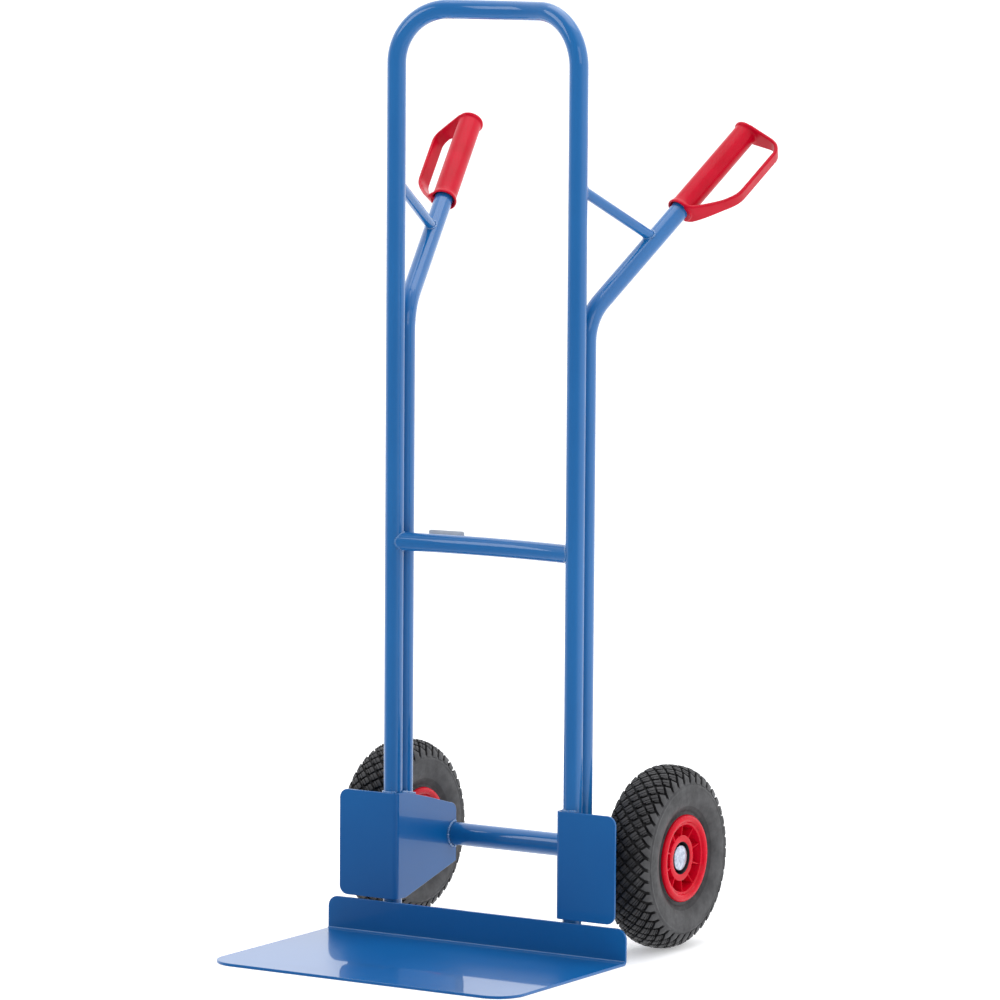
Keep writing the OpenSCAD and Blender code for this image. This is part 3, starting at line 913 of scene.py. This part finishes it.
def make_grips():
    """Both moulded grips."""
    for side in ("left", "right"):
        piece = grip_shape().build(f"{side}_grip_moulding", grip_place(), side == "left")
        melt(piece, 0.0009, 5, 0.45)
        finish_piece(piece, "frame", "red_grip", f"{side}_grip")


make_grips()

# ---------- wheels ----------

SECTION_C = WHEEL_R - TYRE_HW
CAVITY_R = TYRE_HW - 6
GROOVE = 4.0
PITCH_N = 42
PITCH = 2 * math.pi * WHEEL_R / PITCH_N
BLOCK_HALF = 5.3
TREAD_END = 39.0
SHOULDER_END = 47.0
WHEEL_STEPS = 168


def wheel_place():
    """Frame of the right wheel: Z points outwards along the axle."""
    return Matrix.Translation(WHEEL_C) @ Matrix.Rotation(math.pi / 2, 4, "Y")


def tyre_curve():
    """Outside of the tyre from the middle of the tread to the rim, as (arc length, radius, height)."""
    rows = []
    steps = 300
    for k in range(steps + 1):
        a = math.radians(129) * k / steps
        power = 0.82 if a < math.pi / 2 else 1.0
        z = TYRE_HW * math.sin(a) ** power
        r = SECTION_C + TYRE_HW * math.copysign(abs(math.cos(a)) ** power, math.cos(a))
        s = rows[-1][0] + math.hypot(r - rows[-1][1], z - rows[-1][2]) if rows else 0.0
        rows.append((s, r, z))
    return rows


CURVE = tyre_curve()
CURVE_S = [row[0] for row in CURVE]


def on_tyre(s, h):
    """Radius and height of the point h above the tread top at arc length s, negative on the inner side."""
    i = min(max(bisect.bisect_right(CURVE_S, abs(s)) - 1, 0), len(CURVE) - 2)
    (s0, r0, z0), (s1, r1, z1) = CURVE[i:i + 2]
    t = (abs(s) - s0) / (s1 - s0)
    length = math.hypot(r1 - r0, z1 - z0)
    nr, nz = (z1 - z0) / length, (r0 - r1) / length
    r = r0 + (r1 - r0) * t + nr * h
    z = z0 + (z1 - z0) * t + nz * h
    return r, math.copysign(z, s)


def tread_point(angle, s, h):
    """Point on the tyre in the wheel frame."""
    r, z = on_tyre(s, h)
    return (r * math.cos(angle), r * math.sin(angle), z)


def blend_step(x, low, high):
    """Smooth step from 0 to 1."""
    t = min(max((x - low) / (high - low), 0), 1)
    return t * t * (3 - 2 * t)


def carcass_profile():
    """Closed section of the tyre at groove depth, with one material number a point."""
    points = []
    slots = []
    last = CURVE_S[-1]
    count = 84
    for k in range(-count, count + 1):
        s = last * k / count
        r = on_tyre(s, 0)[0]
        h = -GROOVE * (1 - blend_step(abs(s), TREAD_END, SHOULDER_END))
        h += 0.9 * math.exp(-((r - 101) / 1.3) ** 2) * (abs(s) > SHOULDER_END)
        h += 0.5 * math.exp(-((r - 68) / 1.1) ** 2)
        points.append(on_tyre(s, h))
        # Tread floor takes slot 2, painted shade in the grooves; sidewall below radius 73 takes slot 1, painted
        # shade next to the rim; the rest is plain side rubber.
        slots.append(2 if abs(s) < SHOULDER_END - 3 else int(r < 73))
    bead = [(65.6, 27.4), (63.4, 26.3), (61.8, 26.4), (61.3, 27.4), (60.2, FLANGE_Z - 0.1),
            (56, FLANGE_Z - 0.1), (51.3, 27.6), (51.15, 24), (51.15, 9.2), (57, 9.2)]
    sweep = [math.radians(a) for a in range(160, -161, -10)]
    cavity = [(SECTION_C + CAVITY_R * math.cos(a), CAVITY_R * math.sin(a)) for a in sweep]
    closing = bead + cavity + [(r, -z) for r, z in reversed(bead)]
    return points + closing, slots + [0] * len(closing)


def pad(shape, outline, top_slot, floor_slot, rise=0.0, low=-GROOVE - 0.6, round_r=0.5):
    """Raised tread pad over an outline of (angle, arc length) points, rise above the tread top."""
    n = len(outline)
    ca = sum(p[0] for p in outline) / n
    cs = sum(p[1] for p in outline) / n

    def ring(h, grow):
        points = []
        for a, s in outline:
            da, ds = (a - ca) * WHEEL_R, s - cs
            k = 1 + grow / math.hypot(da, ds)
            points.append(tread_point(ca + da * k / WHEEL_R, cs + ds * k, h))
        return points

    rings = [ring(low, 0.55), ring(rise - round_r, 0.0), ring(rise - round_r * 0.25, -round_r * 0.35),
             ring(rise, -round_r)]
    verts = [p for loop in rings for p in loop] + [tread_point(ca, cs, rise)]
    faces = []
    slots = []
    for k in range(3):
        a, b = k * n, (k + 1) * n
        faces += [(a + i, a + (i + 1) % n, b + (i + 1) % n, b + i) for i in range(n)]
        # The block sides and base take floor_slot, which the callers give the groove material: painted shade in
        # the grooves.
        slots += [floor_slot if k == 0 else top_slot] * n
    faces += [(3 * n + i, 3 * n + (i + 1) % n, 4 * n) for i in range(n)]
    faces.append(tuple(range(n)))
    slots += [top_slot] * n + [floor_slot]
    shape.add(verts, faces, slots)


def turned_box(angle, s, p0, p1, q0, q1):
    """Outline of a box set at 45 degrees to the rolling direction, with small cut corners."""
    cut = 0.6
    corners = [(p0 + cut, q0), (p1 - cut, q0), (p1, q0 + cut), (p1, q1 - cut), (p1 - cut, q1), (p0 + cut, q1),
               (p0, q1 - cut), (p0, q0 + cut)]
    k = math.sqrt(0.5)
    return [(angle + (p - q) * k / WHEEL_R, s + (p + q) * k) for p, q in corners]


def tread_block(shape, angle, s, way, rng):
    """Square block with a thin ear split off along one side and a worn, uneven top."""
    b = BLOCK_HALF
    rise = rng.uniform(-0.45, 0.15)
    slip = rng.uniform(-0.35, 0.35)
    pad(shape, turned_box(angle, s, -b, -0.6 + slip, -b, b), 1, 2, rise)
    pad(shape, turned_box(angle, s, 0.1 + slip, b - 2.2, -b, b), 1, 2, rise - 0.2)
    if way > 0:
        pad(shape, turned_box(angle, s, b - 1.5, b, -b + 2.4, b - 0.6), 1, 2)
    else:
        pad(shape, turned_box(angle, s, b - 1.5, b, -b + 0.6, b - 2.4), 1, 2)


def shoulder_lug(shape, angle, side):
    """Wide lug that starts as a point between two blocks and runs out into the sidewall."""
    apex = PITCH * 2 - BLOCK_HALF * math.sqrt(2)
    half = BLOCK_HALF * math.sqrt(2) * 0.9
    shift = 4.2
    outline = [(0, apex), (half * 0.5, PITCH * 2 - half * 0.5), (half, PITCH * 2), (half + shift * 0.5, 42.5),
               (half + shift, SHOULDER_END), (-half + shift, SHOULDER_END), (-half + shift * 0.5, 42.5),
               (-half, PITCH * 2), (-half * 0.5, PITCH * 2 - half * 0.5)]
    pad(shape, [(angle + u / WHEEL_R, side * s) for u, s in outline], 0, 2, 0.7)


def tyre_shape():
    """Carcass with its tread blocks and shoulder lugs."""
    # The third material paints shade in the grooves; the second also paints shade on the sidewall next to the
    # rim.
    shape = Shape(SIDE_RUBBER, BLOCK_AND_RIM_SHADE_RUBBER, GROOVE_SHADE_RUBBER)
    profile, slots = carcass_profile()
    shape.revolve(profile, WHEEL_STEPS, slots)
    rng = random.Random(71)
    for i in range(PITCH_N):
        for j in range(-3, 4):
            angle = (i + 0.5 * (j % 2)) * 2 * math.pi / PITCH_N
            tread_block(shape, angle, j * PITCH / 2, 1 if j >= 0 else -1, rng)
        for side in (-1, 1):
            shoulder_lug(shape, i * 2 * math.pi / PITCH_N, side)
    return shape


def rim_rib(shape, angle, r0, r1, z_low, z_hub, z_edge, way):
    """Rib from hub to barrel with a rounded top edge. way is 1 on the outer face and -1 on the inner."""
    loops = []
    for r, z_top in ((r0, z_hub), (r1, z_edge)):
        loop = [(-1.7, z_low), (-1.25, z_top - 1.3), (-0.8, z_top - 0.35), (0, z_top), (0.8, z_top - 0.35),
                (1.25, z_top - 1.3), (1.7, z_low)]
        c, s = math.cos(angle), math.sin(angle)
        loops.append([(r * c - t * s, r * s + t * c, way * z) for t, z in loop])
    shape.loops(loops)


def flange(z0):
    """Rolled outer edge of a rim half, from the ring round the ribs to the tyre bead."""
    curve = [(46.6, z0 - 1.2), (47.0, z0 - 0.4), (48.2, z0), (49.4, z0 + 0.1), (50.2, z0 + 0.9)]
    curve += [(r, z0 + 0.6 + z * 0.7) for r, z in arc(55.4, 0, 5.2, 155, 20, 9)]
    return curve + [(60.8, z0 + 0.9), (61.0, z0 - 0.3), (60.9, z0 - 1.4), (60.2, z0 - 2.0)]


def rim_outer_shape():
    """Outer rim half: hub ring whose seat round the cap is black, partly a black bushing and partly painted
    shade in the deep recess, ten ribs and a convex flange.
    """
    shape = Shape(RIM_RED, BLACK)
    hub = [(17.1, 0), (17.1, 13.7), (RECESS_R, 13.7), (RECESS_R, HUB_FACE - 0.9),
           (RECESS_R + 0.3, HUB_FACE - 0.4), (RECESS_R + 1.1, HUB_FACE - 0.1), (HUB_R - 1.1, HUB_FACE),
           (HUB_R - 0.3, HUB_FACE - 0.3), (HUB_R, HUB_FACE - 1.1), (32.5, 13.6), (33.0, 12.6),
           (34.2, 12.1), (44.2, 12.1), (45.4, 12.6), (46.0, 13.6)]
    # Seat floor and wall take the black plastic: partly a black bushing, partly painted shade in the recess.
    slots = [0, 1, 1, 1] + [0] * (len(hub) - 4)
    edge = flange(FLANGE_Z + FLANGE_LIFT) + [(BARREL_R + 0.05, FLANGE_Z), (BARREL_R + 0.05, 0)]
    shape.revolve(hub + edge, 120, slots + [0] * len(edge))
    for i in range(RIB_N):
        rim_rib(shape, 2 * math.pi * i / RIB_N, 31.0, 46.8, 11.0, 26.4, 28.4, 1)
    return shape


def rim_inner_shape():
    """Inner rim half: long hub, ten ribs and the same flange."""
    shape = Shape(RIM_RED, BLACK)
    hub = [(17.1, 0.1), (17.1, 36.4), (17.6, 37.0), (25.2, 37.0), (26.0, 36.2), (26.6, 7.6), (27.2, 6.6),
           (28.2, 6.1), (44.2, 6.1), (45.4, 6.6), (46.0, 7.6)]
    edge = flange(FLANGE_Z + FLANGE_LIFT) + [(BARREL_R + 0.05, FLANGE_Z), (BARREL_R + 0.05, 0.1)]
    shape.revolve([(r, -z) for r, z in hub + edge], 120)
    for i in range(RIB_N):
        rim_rib(shape, 2 * math.pi * i / RIB_N, 24.5, 46.8, 5.0, 22.0, 22.0, -1)
    return shape


def cap_shape():
    """Domed push-on cap that fills the hub seat almost to its face."""
    shape = Shape(ZINC)
    z0 = CAP_Z
    turns = [math.radians(16 - 1.6 * k) for k in range(10)]
    dome = [(CAP_DOME_R * math.sin(a), z0 - 47.8 + CAP_DOME_R * math.cos(a)) for a in turns]
    profile = [(0.01, 22.1), (10.05, 22.1), (10.1, z0), (CAP_R - 0.3, z0), (CAP_R, z0 + 0.4), (CAP_R, z0 + 8.2),
               (CAP_R - 0.4, z0 + 9.2)]
    shape.revolve(profile + dome + [(0.01, z0 + 12.2)], 72)
    return shape


def make_wheels():
    """Tyre, rim halves and axle cap of each side."""
    place = wheel_place()
    for side in ("left", "right"):
        mirror = side == "left"
        wheel = f"{side}_wheel"
        tyre = tyre_shape().build(f"{side}_treaded_tyre", place, mirror)
        finish_piece(tyre, wheel, "tyre_rubber", f"{side}_tyre")
        outer = rim_outer_shape().build(f"{side}_outer_rim_moulding", place, mirror)
        finish_piece(outer, wheel, "red_rim", f"{side}_rim_outer")
        inner = rim_inner_shape().build(f"{side}_inner_rim_moulding", place, mirror)
        finish_piece(inner, wheel, "red_rim", f"{side}_rim_inner")
        cap = cap_shape().build(f"{side}_domed_cap", place, mirror)
        finish_piece(cap, "frame", "zinc", f"{side}_axle_cap")


make_wheels()

# ---------- CAD nodes that stay ----------

KEPT = {
    "handle_brace": TUBE_PAINT, "inner_washer": ZINC, "outer_washer": ZINC, "inner_tube": TUBE_RUBBER,
    "rim_bolts": ZINC, "valve_stem": BRASS, "valve_cap": BLACK, "hub_sleeve": STEEL, "bearing_cage": BLACK,
    "bearing_rollers": STEEL,
}
SINGLE = {"crossbar": TUBE_PAINT, "label_plate": LABEL, "axle_tube": TUBE_PAINT, "axle_rod": STEEL}


def paint_node(node, material):
    """Gives a CAD node its finished material."""
    mesh = nodes[node].data
    for k in range(len(mesh.materials)):
        mesh.materials[k] = material


for part, material in KEPT.items():
    for side in ("left", "right"):
        paint_node(f"{side}_{part}", material)
for part, material in SINGLE.items():
    paint_node(part, material)
